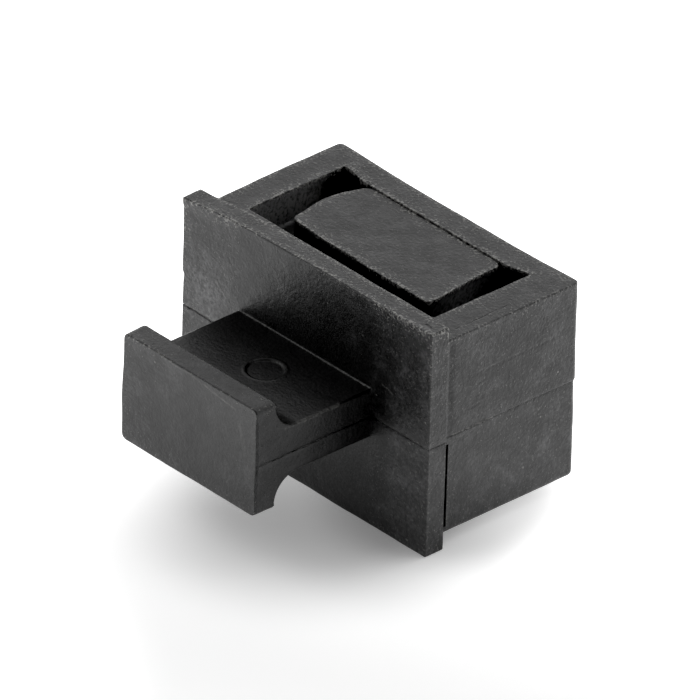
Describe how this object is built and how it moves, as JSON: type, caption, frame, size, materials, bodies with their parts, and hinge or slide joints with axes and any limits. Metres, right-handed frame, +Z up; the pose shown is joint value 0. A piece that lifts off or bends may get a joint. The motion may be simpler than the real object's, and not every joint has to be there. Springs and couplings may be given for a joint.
{
  "type": "transceiver dust plug",
  "caption": "Soft rubber plug moulded in one piece: a flange, a block that fills an empty transceiver port to keep dust out, and a T-shaped pull grip.",
  "frame": {"origin": "on the axis of insertion, in the plane of the flange's rear face, level with the middle of the insert", "axes": "+Y runs into the port, -Y out to the pull grip, +Z up through the recessed top of the insert"},
  "size_m": [0.0142, 0.0138, 0.0099],
  "materials": {
    "black_rubber": "matte, as moulded"
  },
  "bodies": {
    "root": {"dust_plug": "black_rubber"}
  },
  "joints": []
}
